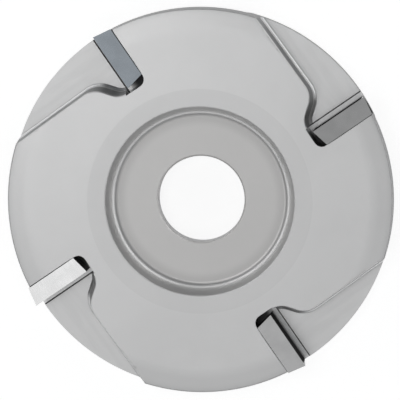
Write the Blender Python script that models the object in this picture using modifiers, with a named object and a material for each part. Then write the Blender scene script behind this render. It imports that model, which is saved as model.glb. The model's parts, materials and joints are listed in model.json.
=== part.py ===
"""Trimming disc for an angle grinder: a cast body, four knives and the screws that hold them.

Metres, +Z up. The Z axis is the spindle axis, the working face is up, and the rear clamping
face of the hub is the plane z = 0. Each knife station is drawn once with the knife's cutting
edge along +X and the chip gullet towards +Y, then turned into its place around the axis.
"""

import math

import bmesh
import bpy
from mathutils import Matrix, Vector

# Hub, bore and recess for the grinder's flange nut
BORE_DIAMETER = 0.02223
BORE_CHAMFER = 0.0004
HUB_THICKNESS = 0.0055
HUB_DIAMETER = 0.0560
HUB_EDGE_ROUND = 0.0008
HUB_FLARE = 0.0025
HUB_FLARE_RADIUS = 0.0012
RECESS_DIAMETER = 0.0486
RECESS_WALL_DRAFT = math.radians(15.0)
RECESS_FOOT_RADIUS = 0.0014
RECESS_LIP_RADIUS = 0.0005

# Working face and rim
BODY_DIAMETER = 0.0988
FACE_HEIGHT = 0.0110
FLAT_DIAMETER = 0.0578
SHOULDER_WIDTH = 0.0049
CROWN_DROP = 0.0003
SHOULDER_DROP = 0.0005
SHOULDER_RADIUS = 0.0300
RIM_THICKNESS = 0.0072
RIM_EDGE_ROUND = 0.0004
RIM_FOOT_ROUND = 0.0008

# Knife
STATIONS = 4
FIRST_STATION = math.radians(34.7)
TIP_REACH = 0.0006
EDGE_BEHIND_AXIS = 0.0015
KNIFE_LENGTH = 0.0158
KNIFE_WIDTH = 0.0048
KNIFE_END_TAPER = math.radians(12.0)
KNIFE_TIP_RELIEF = math.radians(8.0)
KNIFE_TIP_CLEARANCE = math.radians(8.0)
KNIFE_PROUD = 0.0008
FLANK_ANGLE = math.radians(9.5)

# Knife slot
FIT_CLEARANCE = 0.0003
SEAT_STEP = 0.0005
CHIP_LEDGE = 0.0015
SLOT_END_GAP = 0.0013
SLOT_CORNER_RADIUS = 0.0021

# Chip gullet, its plan given where the wall meets the working face
GULLET_DEPTH = 0.0073
GULLET_WIDTH = 0.0104
GULLET_WALL_TILT = math.radians(1.4)
GULLET_BEND = 0.0064
GULLET_BEND_RADIUS = 0.0050
GULLET_THROAT = 0.0018
GULLET_THROAT_RADIUS = 0.0046
GULLET_THROAT_STEP = 0.0002
GULLET_DRAFT = math.radians(6.0)
GULLET_FOOT_RADIUS = 0.0008

# Thickening on the back, under each gullet and knife
BOSS_WALL = 0.0024
BOSS_FLOOR = 0.0028
BOSS_DRAFT = math.radians(20.0)
BOSS_CORNER_RADIUS = 0.0025
BOSS_RIM_STEP = 0.00015
BOSS_EDGE = 0.0006

# Countersunk screws with a hexagon socket
SCREW_DIAMETER = 0.0025
SCREW_HEAD_DIAMETER = 0.0047
SCREW_HEAD_ANGLE = math.radians(45.0)
SCREW_SPACING = 0.0062
SCREW_GRIP = 0.0040
SOCKET_ACROSS_CORNERS = 0.0017
SOCKET_DEPTH = 0.0008

# Name endings of a knife's two screws, from the rim inwards
SCREW_ENDS = ((1, "a"), (-1, "b"))

# Facets, shading and cutter overlap
TURNED_STEPS = 72
FILLET_STEPS = 3
PLAN_ARC_STEPS = 6
SCREW_STEPS = 16
SOCKET_SIDES = 6
SHARP_ANGLE = math.radians(30.0)
MERGE_DISTANCE = 0.000001
LEAST_FILLET = 0.0001
OVERCUT = 0.0010

# Places that follow from the sizes above
BODY_RADIUS = BODY_DIAMETER / 2
RIM_UNDERSIDE = FACE_HEIGHT - RIM_THICKNESS
EDGE_HEIGHT = FACE_HEIGHT + KNIFE_PROUD
GULLET_FLOOR = FACE_HEIGHT - GULLET_DEPTH
SEAT_FLOOR = GULLET_FLOOR - SEAT_STEP
BOSS_BOTTOM = SEAT_FLOOR - BOSS_FLOOR
KNIFE_FOOT = SEAT_FLOOR + FIT_CLEARANCE
EDGE_Y = -EDGE_BEHIND_AXIS
KNIFE_BACK_Y = EDGE_Y - KNIFE_WIDTH
KNIFE_OUTER_X = math.sqrt((BODY_RADIUS + TIP_REACH) ** 2 - EDGE_Y ** 2)
KNIFE_INNER_X = KNIFE_OUTER_X - KNIFE_LENGTH
SLOT_END_X = KNIFE_INNER_X - SLOT_END_GAP
SLOT_FRONT_Y = EDGE_Y + CHIP_LEDGE
SLOT_BACK_Y = KNIFE_BACK_Y - FIT_CLEARANCE
OUTSIDE_X = BODY_RADIUS + TIP_REACH + OVERCUT
GULLET_WALL_X = BODY_RADIUS - GULLET_WIDTH
GULLET_END_X = GULLET_WALL_X - (BODY_RADIUS - GULLET_BEND) * math.tan(GULLET_WALL_TILT)
SCREW_Y = (EDGE_Y + KNIFE_BACK_Y) / 2
SCREW_X = (KNIFE_INNER_X + KNIFE_OUTER_X) / 2
SCREW_HEAD_FACE = BOSS_BOTTOM + FIT_CLEARANCE


def clear_scene():
    """Start from a scene with no objects."""
    for item in list(bpy.data.objects):
        bpy.data.objects.remove(item, do_unlink=True)


def new_collection(name):
    """A collection in the scene."""
    collection = bpy.data.collections.new(name)
    bpy.context.scene.collection.children.link(collection)
    return collection


def new_material(name, colour, roughness, metallic):
    """A plain metal finish."""
    material = bpy.data.materials.new(name)
    material.use_nodes = True
    shader = material.node_tree.nodes["Principled BSDF"]
    shader.inputs["Base Color"].default_value = (*colour, 1.0)
    shader.inputs["Roughness"].default_value = roughness
    shader.inputs["Metallic"].default_value = metallic
    return material


def rounded(corners, steps):
    """Points of a closed outline whose corners (u, v, radius) are turned into arcs."""
    points = []
    for index, (u, v, radius) in enumerate(corners):
        corner = Vector((u, v))
        before = Vector(corners[index - 1][:2]) - corner
        after = Vector(corners[(index + 1) % len(corners)][:2]) - corner
        if radius <= 0:
            points.append(corner)
            continue
        half = before.angle(after) / 2
        middle = (before.normalized() + after.normalized()).normalized()
        centre = corner + middle * radius / math.sin(half)
        start = corner + before.normalized() * radius / math.tan(half) - centre
        sweep = start.angle_signed(corner + after.normalized() * radius / math.tan(half) - centre)
        for step in range(steps + 1):
            turn = -sweep * step / steps
            spoke = Vector((start.x * math.cos(turn) - start.y * math.sin(turn),
                            start.x * math.sin(turn) + start.y * math.cos(turn)))
            points.append(centre + spoke)
    return points


def offset(corners, distance):
    """The corners of an anticlockwise outline moved outwards by a distance, arcs included."""
    moved = []
    for index, (u, v, radius) in enumerate(corners):
        corner = Vector((u, v))
        along_in = (corner - Vector(corners[index - 1][:2])).normalized()
        along_out = (Vector(corners[(index + 1) % len(corners)][:2]) - corner).normalized()
        normal_in = Vector((along_in.y, -along_in.x))
        normal_out = Vector((along_out.y, -along_out.x))
        place = corner + (normal_in + normal_out) * distance / (1 + normal_in.dot(normal_out))
        bend = 1 if along_in.cross(along_out) > 0 else -1
        new_radius = max(radius + bend * distance, LEAST_FILLET) if radius > 0 else 0.0
        moved.append((place.x, place.y, new_radius))
    return moved


def link_mesh(name, bm, collection):
    """Turn a bmesh into an object."""
    mesh = bpy.data.meshes.new(name)
    bm.to_mesh(mesh)
    bm.free()
    item = bpy.data.objects.new(name, mesh)
    collection.objects.link(item)
    return item


def loft(name, rings, collection):
    """A closed solid through anticlockwise rings with one count of points, lowest ring first."""
    bm = bmesh.new()
    loops = [[bm.verts.new(point) for point in ring] for ring in rings]
    bm.faces.new(reversed(loops[0]))
    bm.faces.new(loops[-1])
    for lower, upper in zip(loops, loops[1:]):
        for index in range(len(lower)):
            bm.faces.new((lower[index - 1], lower[index], upper[index], upper[index - 1]))
    return link_mesh(name, bm, collection)


def level(outline, height):
    """A flat outline lifted to a height."""
    return [(point[0], point[1], height) for point in outline]


def turned(name, profile, steps, collection):
    """A profile of (radius, height) points turned around the Z axis, closed or ending on it."""
    bm = bmesh.new()
    verts = [bm.verts.new((point[0], 0.0, point[1])) for point in profile]
    first = 1 if profile[0][0] == 0 else 0
    for index in range(first, len(verts)):
        bm.edges.new((verts[index - 1], verts[index]))
    outline = link_mesh(name + "_profile", bm, collection)
    screw = outline.modifiers.new("turn", "SCREW")
    screw.axis = "Z"
    screw.steps = steps
    screw.render_steps = steps
    screw.use_merge_vertices = True
    screw.merge_threshold = MERGE_DISTANCE
    evaluated = outline.evaluated_get(bpy.context.evaluated_depsgraph_get())
    mesh = bpy.data.meshes.new_from_object(evaluated)
    bpy.data.objects.remove(outline, do_unlink=True)
    mesh.name = name
    mesh.shade_smooth()
    mesh.set_sharp_from_angle(angle=SHARP_ANGLE)
    item = bpy.data.objects.new(name, mesh)
    collection.objects.link(item)
    return item


def boolean(target, tool, operation):
    """Join a tool to a piece, or cut it out."""
    modifier = target.modifiers.new(tool.name, "BOOLEAN")
    modifier.operation = operation
    modifier.solver = "EXACT"
    modifier.object = tool


def as_tool(item):
    """Keep a cutter out of the model proper."""
    item.hide_render = True
    item.display_type = "WIRE"
    return item


def copy_to(item, name, collection):
    """Another object on the same mesh."""
    twin = bpy.data.objects.new(name, item.data)
    collection.objects.link(twin)
    return twin


def body_profile():
    """Half section of the body without its stations, from the bore out over the face and back."""
    bore = BORE_DIAMETER / 2
    recess_depth = FACE_HEIGHT - HUB_THICKNESS
    recess_edge = RECESS_DIAMETER / 2
    recess_foot = recess_edge - recess_depth * math.tan(RECESS_WALL_DRAFT)
    shoulder_height = FACE_HEIGHT - CROWN_DROP
    hub = HUB_DIAMETER / 2
    return rounded([
        (bore, HUB_THICKNESS - BORE_CHAMFER, 0),
        (bore + BORE_CHAMFER, HUB_THICKNESS, 0),
        (recess_foot, HUB_THICKNESS, RECESS_FOOT_RADIUS),
        (recess_edge, FACE_HEIGHT, RECESS_LIP_RADIUS),
        (FLAT_DIAMETER / 2, FACE_HEIGHT, 0),
        (BODY_RADIUS - SHOULDER_WIDTH, shoulder_height, SHOULDER_RADIUS),
        (BODY_RADIUS, shoulder_height - SHOULDER_DROP, RIM_EDGE_ROUND),
        (BODY_RADIUS, RIM_UNDERSIDE, RIM_FOOT_ROUND),
        (hub + HUB_FLARE, RIM_UNDERSIDE, HUB_FLARE_RADIUS),
        (hub, 0, HUB_EDGE_ROUND),
        (bore + BORE_CHAMFER, 0, 0),
        (bore, BORE_CHAMFER, 0),
    ], FILLET_STEPS)


def slot_corners():
    """Plan of the knife slot, open at the rim."""
    return [
        (SLOT_END_X, SLOT_BACK_Y, SLOT_CORNER_RADIUS),
        (OUTSIDE_X, SLOT_BACK_Y, 0),
        (OUTSIDE_X, SLOT_FRONT_Y, 0),
        (SLOT_END_X, SLOT_FRONT_Y, 0),
    ]


def slot_rings():
    """The knife slot from its floor up past the knife."""
    plan = rounded(slot_corners(), PLAN_ARC_STEPS)
    return [level(plan, SEAT_FLOOR), level(plan, EDGE_HEIGHT + OVERCUT)]


def gullet_inset(height):
    """How far the drafted wall of a gullet lies inside its plan at a height."""
    return (FACE_HEIGHT - height) * math.tan(GULLET_DRAFT)


def gullet_corners():
    """Plan of the gullet at the face: a straight wall, a bend, and a throat that runs into the slot."""
    inner = SLOT_END_X + GULLET_THROAT_STEP
    front = SLOT_FRONT_Y - gullet_inset(GULLET_FLOOR + GULLET_FOOT_RADIUS) - GULLET_FOOT_RADIUS - OVERCUT
    return [
        (inner, front, 0),
        (OUTSIDE_X, front, 0),
        (OUTSIDE_X, BODY_RADIUS, 0),
        (GULLET_END_X, BODY_RADIUS, 0),
        (GULLET_WALL_X, GULLET_BEND, GULLET_BEND_RADIUS),
        (inner, GULLET_THROAT, GULLET_THROAT_RADIUS),
    ]


def gullet_rings():
    """Sections of a gullet: a rounded foot, then a drafted wall up past the face."""
    corners = gullet_corners()
    wall_foot = GULLET_FLOOR + GULLET_FOOT_RADIUS
    rings = []
    for step in range(FILLET_STEPS + 1):
        turn = math.pi / 2 * step / FILLET_STEPS
        inset = gullet_inset(wall_foot) + GULLET_FOOT_RADIUS * (1 - math.sin(turn))
        height = GULLET_FLOOR + GULLET_FOOT_RADIUS * (1 - math.cos(turn))
        rings.append(level(rounded(offset(corners, -inset), PLAN_ARC_STEPS), height))
    top = EDGE_HEIGHT + OVERCUT
    rings.append(level(rounded(offset(corners, -gullet_inset(top)), PLAN_ARC_STEPS), top))
    return rings


def boss_rings():
    """Sections of the thickening under a gullet and its knife slot."""
    corners = offset([
        (SLOT_END_X, SLOT_BACK_Y, BOSS_CORNER_RADIUS),
        (OUTSIDE_X, SLOT_BACK_Y, 0),
        (OUTSIDE_X, BODY_RADIUS, 0),
        (GULLET_END_X, BODY_RADIUS, 0),
        (GULLET_WALL_X, GULLET_BEND, GULLET_BEND_RADIUS),
        (SLOT_END_X, GULLET_THROAT, GULLET_THROAT_RADIUS),
    ], BOSS_WALL)
    top = RIM_UNDERSIDE + OVERCUT
    inset = (top - BOSS_BOTTOM) * math.tan(BOSS_DRAFT)
    foot = offset(corners, -inset)
    return [level(rounded(foot, PLAN_ARC_STEPS), BOSS_BOTTOM), level(rounded(corners, PLAN_ARC_STEPS), top)]


def knife_plan(height):
    """Corners of a knife at a height: a trapezium whose tip falls back below the cutting edge."""
    tip = KNIFE_OUTER_X - (EDGE_HEIGHT - height) * math.tan(KNIFE_TIP_CLEARANCE)
    return [
        (KNIFE_INNER_X + KNIFE_WIDTH * math.tan(KNIFE_END_TAPER), KNIFE_BACK_Y, height),
        (tip - KNIFE_WIDTH * math.tan(KNIFE_TIP_RELIEF), KNIFE_BACK_Y, height),
        (tip, EDGE_Y, height),
        (KNIFE_INNER_X, EDGE_Y, height),
    ]


def knife_rings():
    """Foot and top of a knife, with the flank falling away from the cutting edge."""
    back = EDGE_HEIGHT - KNIFE_WIDTH * math.tan(FLANK_ANGLE)
    return [knife_plan(KNIFE_FOOT), knife_plan(back)[:2] + knife_plan(EDGE_HEIGHT)[2:]]


def screw_profile(clearance):
    """Half section of a countersunk screw standing on its head, grown by a clearance."""
    shank = SCREW_DIAMETER / 2 + clearance
    head = SCREW_HEAD_DIAMETER / 2 + clearance
    neck = SCREW_HEAD_FACE + (head - shank) / math.tan(SCREW_HEAD_ANGLE)
    tip = KNIFE_FOOT + SCREW_GRIP + clearance
    return [(0, tip), (shank, tip), (shank, neck), (head, SCREW_HEAD_FACE), (0, SCREW_HEAD_FACE)]


def hole_profile():
    """Half section of a screw's hole, open at the back."""
    hole = screw_profile(FIT_CLEARANCE)[:-1]
    mouth = BOSS_BOTTOM - OVERCUT
    return hole + [(hole[-1][0], mouth), (0, mouth)]


def at_station(item, index):
    """Turn a piece that is drawn along +X to its station."""
    item.rotation_euler.z = FIRST_STATION + index * 2 * math.pi / STATIONS
    return item


def rim_profile():
    """Half section of the round blank that trims the thickenings short of the rim, edge broken."""
    radius = BODY_RADIUS - BOSS_RIM_STEP
    foot = BOSS_BOTTOM - OVERCUT
    return [(0, FACE_HEIGHT), (radius, FACE_HEIGHT), (radius, BOSS_BOTTOM + BOSS_EDGE),
            (radius - BOSS_EDGE - OVERCUT, foot), (0, foot)]


def make_socket(collection):
    """The hexagon recess in a screw head."""
    bm = bmesh.new()
    radius = SOCKET_ACROSS_CORNERS / 2
    bmesh.ops.create_cone(bm, cap_ends=True, segments=SOCKET_SIDES, radius1=radius, radius2=radius,
                          depth=2 * SOCKET_DEPTH)
    bmesh.ops.translate(bm, verts=bm.verts, vec=(0, 0, SCREW_HEAD_FACE))
    return link_mesh("socket", bm, collection)


def at_screw(item, station, side):
    """Stand a screw, or its hole, in one end of a station's knife."""
    turn = Matrix.Rotation(FIRST_STATION + station * 2 * math.pi / STATIONS, 3, "Z")
    item.location = turn @ Vector((SCREW_X + side * SCREW_SPACING / 2, SCREW_Y, 0))
    item.rotation_euler.z = turn.to_euler().z
    return item


def make_body(parts, tools, aluminium):
    """The cast body: turned blank, thickenings, then gullets, slots and screw holes."""
    body = turned("disc_body", body_profile(), TURNED_STEPS, parts)
    body.data.materials.append(aluminium)
    boss = as_tool(loft("boss", boss_rings(), tools))
    rim = as_tool(turned("rim", rim_profile(), TURNED_STEPS, tools))
    rim.rotation_euler.z = math.pi / TURNED_STEPS
    gullet = as_tool(loft("gullet", gullet_rings(), tools))
    slot = as_tool(loft("slot", slot_rings(), tools))
    hole = as_tool(turned("screw_hole", hole_profile(), SCREW_STEPS, tools))
    for station in range(STATIONS):
        label = str(station + 1)
        station_boss = at_station(as_tool(copy_to(boss, "boss_" + label, tools)), station)
        boolean(station_boss, rim, "INTERSECT")
        boolean(body, station_boss, "UNION")
    for station in range(STATIONS):
        label = str(station + 1)
        boolean(body, at_station(as_tool(copy_to(gullet, "gullet_" + label, tools)), station), "DIFFERENCE")
        boolean(body, at_station(as_tool(copy_to(slot, "slot_" + label, tools)), station), "DIFFERENCE")
        for side, end in SCREW_ENDS:
            drill = as_tool(copy_to(hole, "screw_hole_" + label + end, tools))
            boolean(body, at_screw(drill, station, side), "DIFFERENCE")
    return body


def make_knives(parts, tools, hard_metal):
    """Four knives, each with two blind holes in its foot."""
    blank = loft("knife_blank", knife_rings(), tools)
    blank.data.materials.append(hard_metal)
    for station in range(STATIONS):
        label = str(station + 1)
        knife = at_station(copy_to(blank, "knife_" + label, parts), station)
        for _, end in SCREW_ENDS:
            boolean(knife, tools.objects["screw_hole_" + label + end], "DIFFERENCE")
    bpy.data.objects.remove(blank, do_unlink=True)


def make_screws(parts, tools, steel):
    """Two countersunk screws for each knife, put in from the back."""
    screw = turned("screw_blank", screw_profile(0.0), SCREW_STEPS, tools)
    screw.data.materials.append(steel)
    socket = as_tool(make_socket(tools))
    for station in range(STATIONS):
        for side, end in SCREW_ENDS:
            label = str(station + 1) + end
            item = at_screw(copy_to(screw, "knife_screw_" + label, parts), station, side)
            key = at_screw(as_tool(copy_to(socket, "socket_" + label, tools)), station, side)
            boolean(item, key, "DIFFERENCE")
    bpy.data.objects.remove(screw, do_unlink=True)


def main():
    """Build the disc."""
    clear_scene()
    parts = new_collection("grinder_trimming_disc")
    tools = new_collection("cutters")
    aluminium = new_material("cast_aluminium", (0.52, 0.52, 0.53), 0.45, 0.9)
    hard_metal = new_material("ground_hard_metal", (0.45, 0.46, 0.48), 0.2, 1.0)
    steel = new_material("screw_steel", (0.30, 0.30, 0.31), 0.35, 1.0)
    make_body(parts, tools, aluminium)
    make_knives(parts, tools, hard_metal)
    make_screws(parts, tools, steel)


main()
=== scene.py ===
"""Looks for the trimming disc: the cast body, the ground knives and their screws."""

import json
import math

import bmesh
import bpy
from mathutils import Matrix, Vector


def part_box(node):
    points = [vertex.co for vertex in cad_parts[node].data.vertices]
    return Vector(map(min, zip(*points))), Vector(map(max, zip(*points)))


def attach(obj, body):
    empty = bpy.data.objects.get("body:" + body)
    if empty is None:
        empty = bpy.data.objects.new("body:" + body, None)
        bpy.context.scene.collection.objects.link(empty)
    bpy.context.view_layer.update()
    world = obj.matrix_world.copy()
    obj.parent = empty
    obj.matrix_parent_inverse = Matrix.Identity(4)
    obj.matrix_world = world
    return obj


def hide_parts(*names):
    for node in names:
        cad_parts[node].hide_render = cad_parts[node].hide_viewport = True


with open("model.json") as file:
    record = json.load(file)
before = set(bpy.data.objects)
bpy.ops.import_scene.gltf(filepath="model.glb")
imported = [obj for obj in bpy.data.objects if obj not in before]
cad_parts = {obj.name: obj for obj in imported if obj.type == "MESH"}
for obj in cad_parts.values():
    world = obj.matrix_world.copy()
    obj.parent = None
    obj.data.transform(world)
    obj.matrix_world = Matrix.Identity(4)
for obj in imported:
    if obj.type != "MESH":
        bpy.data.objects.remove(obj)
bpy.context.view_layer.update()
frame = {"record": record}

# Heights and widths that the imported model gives
BODY_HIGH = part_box("disc_body")[1]
BODY_RADIUS = BODY_HIGH[0]
FACE_Z = BODY_HIGH[2]
MOUNTS = {mount["name"]: mount for mount in frame["record"]["mounts"]}
HUB_Z = MOUNTS["flange_nut_seat"]["pos_m"][2]
EDGE_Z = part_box("knife_1")[1][2]
KNIFE_FOOT_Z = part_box("knife_1")[0][2]

# Hub, bore and recess
BORE_RADIUS = 0.02223 / 2
BORE_CHAMFER = 0.0004
HUB_RADIUS = 0.0280
HUB_FLARE = 0.0025
RECESS_RADIUS = 0.0243
RECESS_DRAFT = math.radians(15.0)
RECESS_FOOT_RADIUS = RECESS_RADIUS - (FACE_Z - HUB_Z) * math.tan(RECESS_DRAFT)
RECESS_FOOT_ROUND = 0.0020
RECESS_LIP_ROUND = 0.0003

# Working face and rim
FLAT_RADIUS = 0.0289
FLAT_ROUND = 0.0300
SHOULDER_WIDTH = 0.0049
SHOULDER_RADIUS = BODY_RADIUS - SHOULDER_WIDTH
CROWN_DROP = 0.0003
SHOULDER_DROP = 0.0005
SHOULDER_ROUND = 0.0300
RIM_THICKNESS = 0.0072
RIM_ROUND = 0.0004
RIM_FOOT_ROUND = 0.0008
RIM_UNDERSIDE = FACE_Z - RIM_THICKNESS

# Knife stations, drawn with the cutting edge along +X and the gullet towards +Y
STATIONS = 4
FIRST_STATION = math.radians(34.7)
TIP_REACH = 0.0006
CUTTING_RADIUS = BODY_RADIUS + TIP_REACH
EDGE_Y = -0.0015
KNIFE_LENGTH = 0.0158
KNIFE_WIDTH = 0.0048
KNIFE_END_TAPER = math.radians(12.0)
KNIFE_TIP_RELIEF = math.radians(8.0)
KNIFE_TIP_CLEARANCE = math.radians(8.0)
FLANK_ANGLE = math.radians(9.5)
KNIFE_ARRIS = 0.00003
KNIFE_OUTER_X = math.sqrt(CUTTING_RADIUS ** 2 - EDGE_Y ** 2)
KNIFE_INNER_X = KNIFE_OUTER_X - KNIFE_LENGTH
KNIFE_BACK_Y = EDGE_Y - KNIFE_WIDTH

# Knife slot, drawn closer to the back of the knife than the solids are
FIT = 0.0003
BACK_FIT = 0.00005
CHIP_LEDGE = 0.0015
SLOT_END_GAP = 0.0013
SEAT_Z = KNIFE_FOOT_Z - FIT
SLOT_END_X = KNIFE_INNER_X - SLOT_END_GAP
SLOT_FRONT_Y = EDGE_Y + CHIP_LEDGE
SLOT_BACK_Y = KNIFE_BACK_Y - BACK_FIT
SLOT_CORNER = 0.0021
SLOT_LIP = 0.00004

# Chip gullet, its plan given where the wall meets the working face
GULLET_DEPTH = 0.0073
GULLET_Z = FACE_Z - GULLET_DEPTH
GULLET_WIDTH = 0.0104
GULLET_WALL_X = BODY_RADIUS - GULLET_WIDTH
GULLET_WALL_TILT = math.radians(1.4)
GULLET_BEND_Y = 0.0064
GULLET_BEND_ROUND = 0.0050
GULLET_THROAT_Y = 0.0018
GULLET_THROAT_ROUND = 0.0046
GULLET_THROAT_STEP = 0.0002
GULLET_THROAT_X = SLOT_END_X + GULLET_THROAT_STEP
GULLET_DRAFT = math.radians(5.5)
THROAT_DRAFT = math.radians(10.0)
GULLET_FOOT_ROUND = 0.0007
GULLET_LIP = 0.0004
GULLET_LIP_REACH = 0.00012
LIP_TURN = math.radians(75.0)
LIP_OVERCUT = 0.0001
GULLET_LIP_Z = FACE_Z - GULLET_LIP * math.sin(LIP_TURN)
GULLET_WALL_RISE = GULLET_LIP_Z - GULLET_Z - GULLET_FOOT_ROUND
GULLET_WALL_RUN = GULLET_WALL_RISE * math.tan(GULLET_DRAFT)
THROAT_RUN = GULLET_WALL_RISE * math.tan(THROAT_DRAFT)
GULLET_END_X = GULLET_WALL_X - (BODY_RADIUS - GULLET_BEND_Y) * math.tan(GULLET_WALL_TILT)

# Thickening on the back
BOSS_WALL = 0.0024
BOSS_FLOOR = 0.0028
BOSS_Z = SEAT_Z - BOSS_FLOOR
BOSS_DRAFT = math.radians(20.0)
BOSS_ROUND = 0.0025
BOSS_EDGE = 0.0006
BOSS_RIM_STEP = 0.00015

# Screws
SCREW_RADIUS = 0.00125
SCREW_HEAD_RADIUS = 0.00235
SCREW_SPACING = 0.0062
SCREW_GRIP = 0.0040
SCREW_X = (KNIFE_INNER_X + KNIFE_OUTER_X) / 2
SCREW_Y = (EDGE_Y + KNIFE_BACK_Y) / 2
SCREW_FACE_Z = BOSS_Z + FIT
SCREW_TIP_Z = KNIFE_FOOT_Z + SCREW_GRIP
SCREW_ROUND = 0.00012
SOCKET_RADIUS = 0.00085
SOCKET_DEPTH = 0.0008
SOCKET_SIDES = 6
SCREW_ENDS = ((1, "a"), (-1, "b"))

# Facets; the gullet's wall has points up to where the round of its bend begins
TURN_STEPS = 192
ROUND_STEPS = 6
PLAN_STEPS = 12
SCREW_STEPS = 48
ARRIS_STEPS = 2
WALL_PARTS = 24
WALL_POINTS = 21
SMOOTH_ANGLE = math.radians(25.0)
MERGE = 1e-7
OVERCUT = 0.0010
OUTSIDE_X = CUTTING_RADIUS + OVERCUT

# Zones of the casting's finish and of the shade and light painted on it, as limits between which each
# begins or ends
ZONE_EDGE = 0.0001
TURNED_END = (0.0215, 0.0228)
TURNED_LOW = (0.0040, 0.0050)
RECESS_FOOT_SHADE_START = (0.0185, 0.0212)
RECESS_FOOT_SHADE_END = (0.0212, 0.0218)
FLAT_SHADE_END = (FLAT_RADIUS - ZONE_EDGE, FLAT_RADIUS + ZONE_EDGE)
FLAT_SHADE_LOW = (FACE_Z - 0.0004, FACE_Z - 0.0002)
RIM_SHADE_START = (BODY_RADIUS - 0.0003, BODY_RADIUS - 0.0001)
GULLETS_START = (0.0290, 0.0300)
WALL_SHADE_HEIGHTS = (GULLET_Z + 0.0026, FACE_Z - 0.0012)
WALL_SHADE_FADE = 0.0006
FOOT_HIGHLIGHT_HEIGHTS = (GULLET_Z + 0.0003, GULLET_Z + 0.0019)
FOOT_HIGHLIGHT_FADE = 0.0002
SEAT_START = (SLOT_END_X, SLOT_END_X + 0.0005)
SLOT_START = (SLOT_END_X - 0.0002, SLOT_END_X)
SLOT_HEIGHTS = (SEAT_Z - ZONE_EDGE, FACE_Z - 0.0008)
END_WALL_END = (SLOT_END_X + 0.0002, SLOT_END_X + 0.0004)
POCKET_WIDTH = (SLOT_BACK_Y - ZONE_EDGE, EDGE_Y + ZONE_EDGE)
POCKET_HIGH = (SEAT_Z + 0.0020, SEAT_Z + 0.0050)
POCKET_LOW = (SEAT_Z + 0.0002, SEAT_Z + 0.0005)
POCKET_FRONT = (EDGE_Y - 0.0020, EDGE_Y - 0.0002)
CORNER_WIDTH = (SLOT_FRONT_Y - 0.0003, SLOT_FRONT_Y)
CORNER_END = (GULLET_Z - 0.0002, GULLET_Z - 0.0001)

# Zones of a knife's finish and of the light and shade painted on it
SIDES_START = (0.00006, 0.00014)
TIP_START = (BODY_RADIUS - 0.0005, BODY_RADIUS - 0.0001)
RAKE_SHADE_START = (EDGE_Y - 0.00012, EDGE_Y - 0.00004)
RAKE_SHADE_LOW = (KNIFE_FOOT_Z + 0.0004, KNIFE_FOOT_Z + 0.0020)

# Patterns: levels between which they fade, noise scales, and the pitch of the turning marks
CLOUD_LEVELS = (0.3, 0.7)
STREAK_LEVELS = (0.35, 0.65)
CAST_CLOUDS = 55.0
CAST_GRAIN = 5200.0
CAST_PITS = 1500.0
STREAKS_ALONG = 420.0
STREAKS_AHEAD = 70.0
TURNING_PITCH = 0.00045
KNIFE_CLOUDS = 180.0
GRINDING_LINES = 9000.0
GRINDING_STRETCH = (1.0, 0.03, 0.03)
STEEL_MOTTLE = 900.0
STEEL_GRAIN = 4000.0
PAPER_FIBRE = 400.0

# Painted light and shade: each knife's own tone and warmth, set apart per knife for the light each one
# catches
KNIFE_PAINTED_LIGHT_LEVELS = (0.90, 0.93, 1.16, 1.06)
KNIFE_PAINTED_WARMTH = (0.0, -0.09, 0.0, 0.0)

# Floor: what the camera and the metal see of it
FLOOR_GAP = 0.0002
FLOOR_SIZE = 1.5
CAMERA_PAPER = 0.45
CAMERA_GLOW = 0.80
MIRRORED_GLOW = 0.15

# Light: softboxes (name, direction, size, radiance) and a low ring of panels
LAMP_DISTANCE = 1.0
SOFTBOXES = (
    ("key_softbox", (-0.27, 0.15, 0.95), (0.42, 0.42), 1.02),
    ("low_fill", (-0.36, -0.30, 0.89), (0.30, 0.30), 0.30),
    ("top_fill", (0.03, -0.15, 0.985), (1.00, 1.00), 0.40),
)
PANEL_DISTANCE = 1.2
PANEL_RISE = 0.21
PANEL_SIZE = (1.0, 0.40)
PANEL_RADIANCES = (1.3, 1.5, 0.9, 1.5, 1.3, 0.9, 0.9, 0.9)
SURROUND_COLOUR = (0.96, 0.98, 1.0, 1.0)
SURROUND_STRENGTH = 0.18

# Camera
CAMERA_TILT = math.radians(8.0)
CAMERA_TURN = math.radians(56.0)
CAMERA_DISTANCE = 1.3
CAMERA_REACH = 10.0
SENSOR_WIDTH = 36.0
FRAME_WIDTH = 0.1024
AIM = Vector((-0.00013, 0.00006, 0.0080))


def station_turn(station):
    """The turn that takes a shape drawn along +X to its station."""
    return Matrix.Rotation(FIRST_STATION + station * 2 * math.pi / STATIONS, 4, "Z")


def finish_mesh(bm, name):
    """A mesh object at the origin, smooth where its faces run on."""
    bmesh.ops.remove_doubles(bm, verts=bm.verts, dist=MERGE)
    bmesh.ops.recalc_face_normals(bm, faces=bm.faces)
    mesh = bpy.data.meshes.new(name)
    bm.to_mesh(mesh)
    bm.free()
    mesh.shade_smooth()
    mesh.set_sharp_from_angle(angle=SMOOTH_ANGLE)
    item = bpy.data.objects.new(name, mesh)
    bpy.context.scene.collection.objects.link(item)
    return item


def round_corners(bm, verts, corners, steps):
    """Round the corners (.., .., round) of a wire that have a round."""
    for vert, (_, _, radius) in zip(verts, corners):
        if radius:
            along = [edge.other_vert(vert).co - vert.co for edge in vert.link_edges]
            reach = radius / math.tan(along[0].angle(along[1]) / 2)
            bmesh.ops.bevel(bm, geom=[vert], offset=reach, offset_type="OFFSET", affect="VERTICES",
                            segments=steps, profile=0.5, material=-1)


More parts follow.
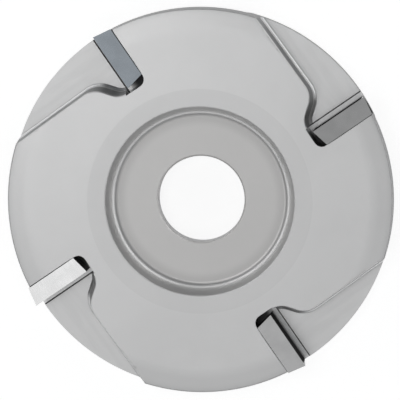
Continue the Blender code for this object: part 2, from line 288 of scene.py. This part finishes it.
def turned_bmesh(corners, steps):
    """Corners (radius, height, round) of a half section, turned around Z."""
    bm = bmesh.new()
    verts = [bm.verts.new((radius, 0.0, height)) for radius, height, _ in corners]
    on_axis = corners[0][0] == 0
    for index in range(1 if on_axis else 0, len(verts)):
        bm.edges.new((verts[index - 1], verts[index]))
    round_corners(bm, verts, corners, ROUND_STEPS)
    bmesh.ops.spin(bm, geom=bm.verts[:] + bm.edges[:], cent=(0, 0, 0), axis=(0, 0, 1),
                   angle=2 * math.pi, steps=steps, use_merge=True)
    bmesh.ops.remove_doubles(bm, verts=bm.verts, dist=MERGE)
    return bm


def lofted_bmesh(levels):
    """A closed solid through plans of corners (x, y, round), each at its height."""
    bm = bmesh.new()
    loops = []
    for corners, height in levels:
        earlier = set(bm.edges)
        verts = [bm.verts.new((x, y, height)) for x, y, _ in corners]
        for index in range(len(verts)):
            bm.edges.new((verts[index - 1], verts[index]))
        round_corners(bm, verts, corners, PLAN_STEPS)
        loops.append([edge for edge in bm.edges if edge not in earlier])
    for lower, upper in zip(loops, loops[1:]):
        bmesh.ops.bridge_loops(bm, edges=lower + upper)
    bmesh.ops.edgeloop_fill(bm, edges=loops[0])
    bmesh.ops.edgeloop_fill(bm, edges=loops[-1])
    return bm


def cut(item, tools, operation="DIFFERENCE"):
    """Cut tools out of a piece, or join them to it, and keep the result as its mesh."""
    for tool in tools:
        modifier = item.modifiers.new(tool.name, "BOOLEAN")
        modifier.operation = operation
        modifier.solver = "EXACT"
        modifier.object = tool
    bpy.context.view_layer.update()
    evaluated = item.evaluated_get(bpy.context.evaluated_depsgraph_get())
    mesh = bpy.data.meshes.new_from_object(evaluated)
    item.modifiers.clear()
    item.data = mesh
    mesh.shade_smooth()
    mesh.set_sharp_from_angle(angle=SMOOTH_ANGLE)
    for tool in tools:
        bpy.data.objects.remove(tool, do_unlink=True)


def face_drop(radius):
    """How far the working face lies below its flat ring at a radius."""
    if radius < FLAT_RADIUS:
        return 0.0
    if radius < SHOULDER_RADIUS:
        return CROWN_DROP * (radius - FLAT_RADIUS) / (SHOULDER_RADIUS - FLAT_RADIUS)
    return CROWN_DROP + SHOULDER_DROP * (radius - SHOULDER_RADIUS) / (BODY_RADIUS - SHOULDER_RADIUS)


def follow_face(bm, lip_z):
    """Lower a cutter's lip with the crowned face that it cuts."""
    for vert in bm.verts:
        if lip_z - MERGE < vert.co.z < FACE_Z + LIP_OVERCUT + MERGE:
            vert.co.z -= face_drop(vert.co.xy.length)


def offset_corners(corners, distance, last_side=0.0):
    """Anticlockwise corners (x, y, round) moved outwards, and the side before the last one further."""
    moved = []
    for index, (x, y, radius) in enumerate(corners):
        corner = Vector((x, y))
        along_in = (corner - Vector(corners[index - 1][:2])).normalized()
        along_out = (Vector(corners[(index + 1) % len(corners)][:2]) - corner).normalized()
        normal_in = Vector((along_in.y, -along_in.x))
        normal_out = Vector((along_out.y, -along_out.x))
        place = corner + (normal_in + normal_out) * distance / (1 + normal_in.dot(normal_out))
        if index == len(corners) - 1:
            place += along_out * last_side / along_out.dot(normal_in)
        elif index == len(corners) - 2:
            place += along_in * last_side / along_in.dot(normal_out)
        bend = math.copysign(1.0, along_in.cross(along_out))
        moved.append((place.x, place.y, radius + bend * distance if radius else 0))
    return moved


def gullet_plan():
    """Plan of a gullet at the face: straight wall, bend, and throat into the slot."""
    far = Vector((GULLET_END_X, BODY_RADIUS))
    bend = Vector((GULLET_WALL_X, GULLET_BEND_Y))
    wall = [(*far.lerp(bend, part / WALL_PARTS), 0) for part in range(WALL_POINTS)]
    front = SLOT_FRONT_Y - GULLET_WALL_RUN - GULLET_FOOT_ROUND - OVERCUT
    return [
        (GULLET_THROAT_X, front, 0),
        (OUTSIDE_X, front, 0),
        (OUTSIDE_X, BODY_RADIUS, 0),
        *wall,
        (GULLET_WALL_X, GULLET_BEND_Y, GULLET_BEND_ROUND),
        (GULLET_THROAT_X, GULLET_THROAT_Y, GULLET_THROAT_ROUND),
    ]


def gullet_tool(station):
    """The shape of one gullet: rounded foot, drafted wall and rounded lip."""
    lip_reach = GULLET_LIP * (1 - math.cos(LIP_TURN))
    plan = offset_corners(gullet_plan(), GULLET_LIP_REACH - lip_reach)
    foot = GULLET_WALL_RUN + GULLET_FOOT_ROUND
    throat = GULLET_WALL_RUN - THROAT_RUN
    levels = [(offset_corners(plan, -foot, throat), GULLET_Z)]
    for step in range(1, ROUND_STEPS + 1):
        turn = math.pi / 2 * step / ROUND_STEPS
        reach = GULLET_FOOT_ROUND * math.sin(turn) - foot
        rise = GULLET_FOOT_ROUND * (1 - math.cos(turn))
        levels.append((offset_corners(plan, reach, throat), GULLET_Z + rise))
    levels.append((plan, GULLET_LIP_Z))
    for step in range(1, ROUND_STEPS + 1):
        turn = LIP_TURN * step / ROUND_STEPS
        rise = GULLET_LIP * math.sin(turn)
        levels.append((offset_corners(plan, GULLET_LIP * (1 - math.cos(turn))), GULLET_LIP_Z + rise))
    mouth = offset_corners(plan, lip_reach + LIP_OVERCUT * math.tan(LIP_TURN))
    levels += [(mouth, FACE_Z + LIP_OVERCUT), (mouth, FACE_Z + OVERCUT)]
    bm = lofted_bmesh(levels)
    follow_face(bm, GULLET_LIP_Z)
    bmesh.ops.transform(bm, matrix=station_turn(station), verts=bm.verts)
    return finish_mesh(bm, "gullet_tool_%d" % station)


def slot_tool(station):
    """The knife slot, open at the rim, with a broken edge."""
    plan = [
        (SLOT_END_X, SLOT_BACK_Y, SLOT_CORNER),
        (OUTSIDE_X, SLOT_BACK_Y, 0),
        (OUTSIDE_X, SLOT_FRONT_Y, 0),
        (SLOT_END_X, SLOT_FRONT_Y, 0),
    ]
    lip_z = FACE_Z - SLOT_LIP
    mouth = offset_corners(plan, SLOT_LIP + LIP_OVERCUT)
    bm = lofted_bmesh([(plan, SEAT_Z), (plan, lip_z),
                       (mouth, FACE_Z + LIP_OVERCUT), (mouth, FACE_Z + OVERCUT)])
    follow_face(bm, lip_z)
    bmesh.ops.transform(bm, matrix=station_turn(station), verts=bm.verts)
    return finish_mesh(bm, "slot_tool_%d" % station)


def boss_tool(station):
    """The thickening on the back under one gullet and its knife, trimmed short of the rim."""
    plan = offset_corners([
        (SLOT_END_X, SLOT_BACK_Y, BOSS_ROUND),
        (OUTSIDE_X, SLOT_BACK_Y, 0),
        (OUTSIDE_X, BODY_RADIUS, 0),
        (GULLET_END_X, BODY_RADIUS, 0),
        (GULLET_WALL_X, GULLET_BEND_Y, GULLET_BEND_ROUND),
        (SLOT_END_X, GULLET_THROAT_Y, GULLET_THROAT_ROUND),
    ], BOSS_WALL)
    top = RIM_UNDERSIDE + OVERCUT
    foot = -(top - BOSS_Z) * math.tan(BOSS_DRAFT)
    bm = lofted_bmesh([(offset_corners(plan, foot), BOSS_Z), (plan, top)])
    bmesh.ops.transform(bm, matrix=station_turn(station), verts=bm.verts)
    boss = finish_mesh(bm, "boss_tool_%d" % station)
    radius = BODY_RADIUS - BOSS_RIM_STEP
    blank = [(0, FACE_Z, 0), (radius, FACE_Z, 0), (radius, BOSS_Z + BOSS_EDGE, 0),
             (radius - BOSS_EDGE - OVERCUT, BOSS_Z - OVERCUT, 0), (0, BOSS_Z - OVERCUT, 0)]
    bm = turned_bmesh(blank, TURN_STEPS)
    bmesh.ops.rotate(bm, verts=bm.verts, matrix=Matrix.Rotation(math.pi / TURN_STEPS, 3, "Z"))
    cut(boss, [finish_mesh(bm, "blank_tool")], "INTERSECT")
    return boss


def screw_places():
    """Name ending and place of every screw."""
    for station in range(STATIONS):
        for side, end in SCREW_ENDS:
            spot = Matrix.Translation((SCREW_X + side * SCREW_SPACING / 2, SCREW_Y, 0))
            yield station, "%d%s" % (station + 1, end), station_turn(station) @ spot


def hole_tool(name, place):
    """A screw's countersunk hole, open at the back."""
    shank = SCREW_RADIUS + FIT
    head = SCREW_HEAD_RADIUS + FIT
    neck = SCREW_FACE_Z + head - shank
    tip = SCREW_TIP_Z + FIT
    corners = [(0, tip, 0), (shank, tip, 0), (shank, neck, 0), (head, SCREW_FACE_Z, 0),
               (head, BOSS_Z - OVERCUT, 0), (0, BOSS_Z - OVERCUT, 0)]
    bm = turned_bmesh(corners, SCREW_STEPS)
    bmesh.ops.transform(bm, matrix=place, verts=bm.verts)
    return finish_mesh(bm, name)


def make_body():
    """The cast body with its recess, gullets, slots and thickenings."""
    corners = [
        (BORE_RADIUS, HUB_Z - BORE_CHAMFER, 0),
        (BORE_RADIUS + BORE_CHAMFER, HUB_Z, 0),
        (RECESS_FOOT_RADIUS, HUB_Z, RECESS_FOOT_ROUND),
        (RECESS_RADIUS, FACE_Z, RECESS_LIP_ROUND),
        (FLAT_RADIUS, FACE_Z, FLAT_ROUND),
        (SHOULDER_RADIUS, FACE_Z - CROWN_DROP, SHOULDER_ROUND),
        (BODY_RADIUS, FACE_Z - CROWN_DROP - SHOULDER_DROP, RIM_ROUND),
        (BODY_RADIUS, RIM_UNDERSIDE, RIM_FOOT_ROUND),
        (HUB_RADIUS + HUB_FLARE, RIM_UNDERSIDE, HUB_FLARE / 2),
        (HUB_RADIUS, 0, RIM_FOOT_ROUND),
        (BORE_RADIUS + BORE_CHAMFER, 0, 0),
        (BORE_RADIUS, BORE_CHAMFER, 0),
    ]
    body = finish_mesh(turned_bmesh(corners, TURN_STEPS), "disc_casting")
    stations = range(STATIONS)
    cut(body, [boss_tool(station) for station in stations], "UNION")
    cut(body, [gullet_tool(station) for station in stations])
    cut(body, [slot_tool(station) for station in stations])
    cut(body, [hole_tool("hole_tool_" + label, place) for _, label, place in screw_places()])
    body.modifiers.new("even_shading", "WEIGHTED_NORMAL").keep_sharp = True
    return body


def make_knife(station):
    """One knife: trapezium in plan, flank and tip falling back from the edge, arrises broken."""
    bm = bmesh.new()
    plan = [(KNIFE_INNER_X + KNIFE_WIDTH * math.tan(KNIFE_END_TAPER), KNIFE_BACK_Y),
            (KNIFE_OUTER_X - KNIFE_WIDTH * math.tan(KNIFE_TIP_RELIEF), KNIFE_BACK_Y),
            (KNIFE_OUTER_X, EDGE_Y), (KNIFE_INNER_X, EDGE_Y)]
    foot = bm.faces.new([bm.verts.new((x, y, KNIFE_FOOT_Z)) for x, y in plan])
    raised = bmesh.ops.extrude_face_region(bm, geom=[foot], use_keep_orig=True)["geom"]
    for vert in raised:
        if isinstance(vert, bmesh.types.BMVert):
            vert.co.z = EDGE_Z - (EDGE_Y - vert.co.y) * math.tan(FLANK_ANGLE)
    for vert in bm.verts:
        if vert.co.x > SCREW_X:
            vert.co.x -= (EDGE_Z - vert.co.z) * math.tan(KNIFE_TIP_CLEARANCE)
    bmesh.ops.recalc_face_normals(bm, faces=bm.faces)
    arrises = [edge for edge in bm.edges if not all(vert.co.z > EDGE_Z - MERGE for vert in edge.verts)]
    bmesh.ops.bevel(bm, geom=arrises, offset=KNIFE_ARRIS, offset_type="OFFSET", affect="EDGES",
                    segments=ARRIS_STEPS, profile=0.5, material=-1)
    bmesh.ops.transform(bm, matrix=station_turn(station), verts=bm.verts)
    knife = finish_mesh(bm, "ground_knife_%d" % (station + 1))
    holes = [hole_tool("hole_tool_" + label, place)
             for which, label, place in screw_places() if which == station]
    cut(knife, holes)
    knife.data.shade_flat()
    return knife


def make_screw(label, place):
    """One countersunk screw with a hexagon socket."""
    neck = SCREW_FACE_Z + SCREW_HEAD_RADIUS - SCREW_RADIUS
    corners = [(0, SCREW_TIP_Z, 0), (SCREW_RADIUS, SCREW_TIP_Z, SCREW_ROUND), (SCREW_RADIUS, neck, 0),
               (SCREW_HEAD_RADIUS, SCREW_FACE_Z, SCREW_ROUND), (0, SCREW_FACE_Z, 0)]
    bm = turned_bmesh(corners, SCREW_STEPS)
    bmesh.ops.transform(bm, matrix=place, verts=bm.verts)
    screw = finish_mesh(bm, "countersunk_screw_" + label)
    bm = bmesh.new()
    bmesh.ops.create_cone(bm, cap_ends=True, segments=SOCKET_SIDES, depth=2 * SOCKET_DEPTH,
                          radius1=SOCKET_RADIUS, radius2=SOCKET_RADIUS,
                          matrix=place @ Matrix.Translation((0, 0, SCREW_FACE_Z)))
    cut(screw, [finish_mesh(bm, "socket_tool")])
    return screw


class Signal:
    """A shader socket that Python's operators work on, adding Math nodes."""

    def __init__(self, finish, socket):
        self.finish = finish
        self.socket = socket

    def math(self, operation, first, second=None):
        ends = {0: first} if second is None else {0: first, 1: second}
        return self.finish.node("ShaderNodeMath", {"operation": operation}, ends)

    def __add__(self, other):
        return self.math("ADD", self, other)

    def __radd__(self, other):
        return self.math("ADD", other, self)

    def __sub__(self, other):
        return self.math("SUBTRACT", self, other)

    def __rsub__(self, other):
        return self.math("SUBTRACT", other, self)

    def __mul__(self, other):
        return self.math("MULTIPLY", self, other)

    def __rmul__(self, other):
        return self.math("MULTIPLY", other, self)

    def sine(self):
        return self.math("SINE", self)

    def cosine(self):
        return self.math("COSINE", self)


class Finish:
    """One procedural surface finish: a material whose nodes are made by calls."""

    def __init__(self, name):
        self.material = bpy.data.materials.new(name)
        self.material.use_nodes = True
        self.tree = self.material.node_tree
        self.shader = self.tree.nodes["Principled BSDF"]
        self.place = self.node("ShaderNodeTexCoord", output="Object")
        self.height = self.axis("Z")

    def node(self, kind, settings=None, inputs=None, output=0):
        """A node with its settings, then its input values or links; gives one output."""
        made = self.tree.nodes.new(kind)
        for key, value in (settings or {}).items():
            setattr(made, key, value)
        for key, value in (inputs or {}).items():
            self.feed(made.inputs[key], value)
        return Signal(self, made.outputs[output])

    def feed(self, socket, value):
        """A link into a socket, or its plain value."""
        if isinstance(value, Signal):
            self.tree.links.new(value.socket, socket)
        else:
            socket.default_value = value

    def noise(self, scale, detail=2.0, place=None):
        """Cloudy noise from 0 to 1."""
        inputs = {"Vector": place or self.place, "Scale": scale, "Detail": detail}
        return self.node("ShaderNodeTexNoise", inputs=inputs)

    def band(self, value, low, high):
        """0 below low, 1 above high, smooth between."""
        inputs = {"Value": value, "From Min": low, "From Max": high, "To Min": 0.0, "To Max": 1.0}
        return self.node("ShaderNodeMapRange", {"interpolation_type": "SMOOTHSTEP"}, inputs)

    def within(self, value, low, high, edge=ZONE_EDGE):
        """1 between two limits, falling to 0 outside them over an edge."""
        return self.band(value, low - edge, low) * (1 - self.band(value, high, high + edge))

    def at_height(self, height):
        """1 on a flat floor at a height."""
        return self.within(self.height, height - ZONE_EDGE, height + ZONE_EDGE)

    def blend(self, factor, first, second):
        """One colour over another."""
        inputs = {0: factor, 6: first, 7: second}
        return self.node("ShaderNodeMix", {"data_type": "RGBA"}, inputs, output=2)

    def scaled(self, vector, factors):
        """A vector with each part multiplied."""
        return self.node("ShaderNodeVectorMath", {"operation": "MULTIPLY"}, {0: vector, 1: factors})

    def axis(self, name):
        """One coordinate of the place on the surface."""
        return self.node("ShaderNodeSeparateXYZ", inputs={0: self.place}, output=name)

    def radius(self):
        """Distance from the spindle axis."""
        flat = self.scaled(self.place, (1.0, 1.0, 0.0))
        return self.node("ShaderNodeVectorMath", {"operation": "LENGTH"}, {0: flat}, output="Value")

    def at_station(self):
        """Distances along the cutting edge of the nearest station, and ahead of the axis there."""
        sides = {0: self.axis("Y"), 1: self.axis("X")}
        angle = self.node("ShaderNodeMath", {"operation": "ARCTAN2"}, sides)
        half = math.pi / STATIONS
        limits = {0: angle - FIRST_STATION, 1: half, 2: -half}
        turn = self.node("ShaderNodeMath", {"operation": "WRAP"}, limits)
        radius = self.radius()
        return radius * turn.cosine(), radius * turn.sine()

    def bump(self, height, strength, distance):
        """A normal roughened by a height."""
        inputs = {"Height": height, "Strength": strength, "Distance": distance}
        return self.node("ShaderNodeBump", inputs=inputs)

    def set(self, **values):
        """The shader's inputs, by name; gives the material."""
        for key, value in values.items():
            self.feed(self.shader.inputs[key.replace("_", " ")], value)
        return self.material


def grey(level, warmth=0.0):
    """A near-neutral colour."""
    return (level * (1 + warmth), level, level * (1 - warmth), 1.0)


def recess_tone(finish, tone, radius, turned):
    """The turned floor of the recess, with painted shade at the foot of its wall."""
    tone = finish.blend(turned, tone, grey(0.67, 0.012))
    # Painted shade: the recess floor darkened towards the foot of its wall, where shade falls
    foot = finish.band(radius, *RECESS_FOOT_SHADE_START) * (1 - finish.band(radius, *RECESS_FOOT_SHADE_END))
    return finish.blend(0.35 * foot * turned, tone, grey(0.40, 0.01))


def face_tone(finish, tone, radius, rim_shade):
    """Painted shade: the flat ring of the working face a little darker, the edge of the rim much
    darker.
    """
    flat = (1 - finish.band(radius, *FLAT_SHADE_END)) * finish.band(finish.height, *FLAT_SHADE_LOW)
    # Painted shade on the flat ring and a painted dark edge round the rim
    return finish.blend(0.08 * flat + 0.65 * rim_shade, tone, grey(0.30))


def gullet_tone(finish, tone, radius, rim_shade, along, ahead):
    """Painted shade high on a gullet's wall, a painted highlight along its foot below it, and a
    streaked floor.
    """
    wall = finish.band(radius, *GULLETS_START) * (1 - rim_shade)
    # Painted shade: a dark band high on the gullet's wall, standing in for its dark reflection
    wall_shade = finish.within(finish.height, *WALL_SHADE_HEIGHTS, WALL_SHADE_FADE)
    tone = finish.blend(0.75 * wall_shade * wall, tone, grey(0.24, -0.02))
    # Painted highlight: a bright line along the foot of the gullet's wall
    foot_highlight = finish.within(finish.height, *FOOT_HIGHLIGHT_HEIGHTS, FOOT_HIGHLIGHT_FADE)
    tone = finish.blend(foot_highlight * wall, tone, grey(0.97))
    sweep = {0: along * STREAKS_ALONG, 1: ahead * STREAKS_AHEAD}
    sweep = finish.node("ShaderNodeCombineXYZ", inputs=sweep)
    streaks = finish.band(finish.noise(1.0, detail=3.0, place=sweep), *STREAK_LEVELS)
    return finish.blend(0.20 * streaks * finish.at_height(GULLET_Z), tone, grey(0.62))


def seat_tone(finish, tone, along, ahead):
    """A brighter strip on a slot's floor before its knife."""
    strip = finish.within(ahead, EDGE_Y, SLOT_FRONT_Y) * finish.band(along, *SEAT_START)
    return finish.blend(finish.at_height(SEAT_Z) * strip, tone, grey(0.96))


def slot_painted_shade(finish, along, ahead):
    """Painted shade in a slot, where shade falls: the pocket beside the knife, the end wall and the
    front corner.
    """
    in_slot = finish.band(along, *SLOT_START) * finish.within(finish.height, *SLOT_HEIGHTS)
    end_wall = 1 - finish.band(along, *END_WALL_END)
    high = finish.band(finish.height, *POCKET_HIGH)
    low = 1 - finish.band(finish.height, *POCKET_LOW)
    pocket = finish.within(ahead, *POCKET_WIDTH) * (1 - 0.4 * end_wall * high)
    pocket = pocket * (1 - 0.7 * low * finish.band(ahead, *POCKET_FRONT))
    fading = 0.6 * end_wall * (1 - finish.band(ahead, EDGE_Y, SLOT_FRONT_Y))
    corner = finish.within(ahead, *CORNER_WIDTH) * (1 - finish.band(finish.height, *CORNER_END))
    return in_slot * (pocket + (1 - pocket) * (corner + (1 - corner) * fading))


def cast_aluminium():
    """Blasted satin casting: soft clouds, fine grain, faint turning marks, with painted shade in the
    slots, high on the gullet walls, at the recess foot, on the flat ring and at the rim's edge, and
    painted highlights along the gullet feet.
    """
    finish = Finish("blasted_cast_aluminium")
    radius = finish.radius()
    along, ahead = finish.at_station()
    clouds = finish.noise(CAST_CLOUDS, detail=3.0)
    grain = finish.noise(CAST_GRAIN, detail=1.0)
    pits = finish.noise(CAST_PITS)
    turned = (1 - finish.band(radius, *TURNED_END)) * finish.band(finish.height, *TURNED_LOW)
    # Edge of the rim, which gets painted shade
    rim_shade = finish.band(radius, *RIM_SHADE_START)
    tone = finish.blend(finish.band(clouds, *CLOUD_LEVELS), grey(0.80, 0.002), grey(0.84, 0.002))
    tone = recess_tone(finish, tone, radius, turned)
    tone = face_tone(finish, tone, radius, rim_shade)
    tone = gullet_tone(finish, tone, radius, rim_shade, along, ahead)
    tone = seat_tone(finish, tone, along, ahead)
    tone = finish.blend(0.10 * grain, tone, grey(0.55))
    slot_shade = slot_painted_shade(finish, along, ahead)
    # Painted shade: the slot's pocket, end wall and front corner made near black and less metallic
    tone = finish.blend(slot_shade * (0.8 + 0.2 * clouds), tone, grey(0.02))
    rings = (radius * (2 * math.pi / TURNING_PITCH) + 2.0 * clouds).sine()
    rough = 0.34 + 0.06 * clouds + 0.05 * grain - 0.04 * turned
    height = 0.6 * grain + 0.4 * pits + 0.12 * rings * turned
    normal = finish.bump(height, strength=0.16, distance=0.00006)
    metal = 1 - 0.9 * slot_shade
    return finish.set(Base_Color=tone, Metallic=metal, Roughness=rough, Normal=normal)


def ground_hard_metal(station):
    """Ground knife: fine lines across the flank, with painted light and shade: a bright tip, darker
    sides, a near-black rake face, and each knife's own tone.
    """
    finish = Finish("ground_hard_metal_%d" % (station + 1))
    ahead = finish.at_station()[1]
    turn = {"Vector": finish.place, "Rotation": station_turn(station).inverted().to_euler()}
    local = finish.node("ShaderNodeMapping", {"vector_type": "POINT"}, turn)
    lines = finish.noise(GRINDING_LINES, place=finish.scaled(local, GRINDING_STRETCH))
    clouds = finish.noise(KNIFE_CLOUDS)
    flank = EDGE_Z + (ahead - EDGE_Y) * math.tan(FLANK_ANGLE)
    sides = finish.band(flank - finish.height, *SIDES_START)
    tip = finish.band(finish.radius(), *TIP_START)
    # Where the rake face gets painted shade
    rake_shade = sides * finish.band(ahead, *RAKE_SHADE_START) * (1 - tip)
    rake_shade = rake_shade * finish.band(finish.height, *RAKE_SHADE_LOW)
    # Painted light and shade: each knife's tone set by the light it catches where it stands
    level, warmth = KNIFE_PAINTED_LIGHT_LEVELS[station], KNIFE_PAINTED_WARMTH[station]
    mottle = finish.band(clouds, *CLOUD_LEVELS)
    tone = finish.blend(mottle, grey(0.48 * level, warmth), grey(0.55 * level, warmth))
    tone = finish.blend(0.18 * lines, tone, grey(0.40, warmth))
    # Painted shade on the sides where they sit in the slot, painted light on the tip past the rim
    tone = finish.blend(sides * (1 - tip), tone, grey(0.30, warmth))
    tone = finish.blend(sides * tip, tone, grey(0.95))
    # Painted shade: the rake face near black and not metallic, where it sits in the slot's shade
    rake_shade_tone = finish.blend(0.6 * clouds + 0.4 * lines, grey(0.015), grey(0.055))
    tone = finish.blend(rake_shade, tone, rake_shade_tone)
    rough = 0.18 + 0.08 * lines + 0.04 * clouds + 0.25 * sides
    normal = finish.bump(lines, strength=0.06, distance=0.00002)
    finish.set(Specular_IOR_Level=0.0)
    return finish.set(Base_Color=tone, Metallic=1 - rake_shade, Roughness=rough, Normal=normal)


def screw_steel():
    """Dark oiled steel with a faint mottle."""
    finish = Finish("dark_oiled_steel")
    mottle = finish.noise(STEEL_MOTTLE, detail=3.0)
    tone = finish.blend(mottle, grey(0.16), grey(0.26, 0.01))
    rough = 0.32 + 0.12 * mottle
    normal = finish.bump(finish.noise(STEEL_GRAIN), strength=0.08, distance=0.00003)
    return finish.set(Base_Color=tone, Metallic=1.0, Roughness=rough, Normal=normal)


def dress(piece, node, material):
    """Give a piece its finish and put it in its node's place."""
    piece.data.materials.clear()
    piece.data.materials.append(material)
    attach(piece, "root")
    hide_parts(node)


def white_floor():
    """White paper with a glow for the camera, and less for the metal, that keeps a faint shadow."""
    finish = Finish("white_floor")
    camera = finish.node("ShaderNodeLightPath", output="Is Camera Ray")
    mirrored = finish.node("ShaderNodeLightPath", output="Is Glossy Ray")
    mirrored = mirrored + finish.node("ShaderNodeLightPath", output="Is Transmission Ray")
    paper = finish.blend(finish.noise(PAPER_FIBRE), grey(0.90), grey(0.92))
    paper = finish.blend(camera, paper, grey(CAMERA_PAPER))
    glow = finish.blend(CAMERA_GLOW * camera + MIRRORED_GLOW * mirrored, grey(0.0), grey(1.0))
    return finish.set(Base_Color=paper, Roughness=0.9, Emission_Color=glow, Emission_Strength=1.0)


def make_floor():
    """A white sweep that keeps a soft shadow."""
    bm = bmesh.new()
    bmesh.ops.create_grid(bm, x_segments=1, y_segments=1, size=FLOOR_SIZE)
    bmesh.ops.translate(bm, verts=bm.verts, vec=(0.0, 0.0, -FLOOR_GAP))
    floor = finish_mesh(bm, "floor")
    floor.data.materials.append(white_floor())


def softbox(name, direction, distance, size, radiance):
    """An area lamp (width, height) of a given brightness, facing the disc."""
    lamp = bpy.data.lights.new(name, "AREA")
    lamp.shape = "RECTANGLE"
    lamp.size, lamp.size_y = size
    lamp.energy = radiance * math.pi * lamp.size * lamp.size_y
    item = bpy.data.objects.new(name, lamp)
    item.location = Vector(direction).normalized() * distance
    item.rotation_euler = item.location.to_track_quat("Z", "Y").to_euler()
    bpy.context.scene.collection.objects.link(item)


def make_light():
    """Soft studio light: softboxes overhead, a low ring of panels all round, a dim surround."""
    world = bpy.data.worlds.new("studio")
    bpy.context.scene.world = world
    world.use_nodes = True
    background = world.node_tree.nodes["Background"]
    background.inputs["Color"].default_value = SURROUND_COLOUR
    background.inputs["Strength"].default_value = SURROUND_STRENGTH
    for name, direction, size, radiance in SOFTBOXES:
        softbox(name, direction, LAMP_DISTANCE, size, radiance)
    for side, radiance in enumerate(PANEL_RADIANCES):
        azimuth = 2 * math.pi * side / len(PANEL_RADIANCES)
        direction = (math.cos(azimuth), math.sin(azimuth), PANEL_RISE)
        softbox("side_panel_%d" % side, direction, PANEL_DISTANCE, PANEL_SIZE, radiance)


def make_camera():
    """A long lens almost square to the working face, leaning to the upper right."""
    camera = bpy.data.cameras.new("camera")
    camera.sensor_width = SENSOR_WIDTH
    camera.lens = SENSOR_WIDTH * CAMERA_DISTANCE / FRAME_WIDTH
    camera.clip_end = CAMERA_REACH
    item = bpy.data.objects.new("camera", camera)
    lean = math.sin(CAMERA_TILT)
    back = Vector((lean * math.cos(CAMERA_TURN), lean * math.sin(CAMERA_TURN),
                   math.cos(CAMERA_TILT)))
    right = Vector((0.0, 1.0, 0.0)).cross(back).normalized()
    up = back.cross(right)
    turn = Matrix((right, up, back)).transposed().to_4x4()
    item.matrix_world = Matrix.Translation(AIM + back * CAMERA_DISTANCE) @ turn
    bpy.context.scene.collection.objects.link(item)
    bpy.context.scene.camera = item


dress(make_body(), "disc_body", cast_aluminium())
for station in range(STATIONS):
    dress(make_knife(station), "knife_%d" % (station + 1), ground_hard_metal(station))
SCREW_FINISH = screw_steel()
for _, label, place in screw_places():
    dress(make_screw(label, place), "knife_screw_" + label, SCREW_FINISH)

make_floor()
make_light()
make_camera()
bpy.context.scene.view_settings.view_transform = "Standard"
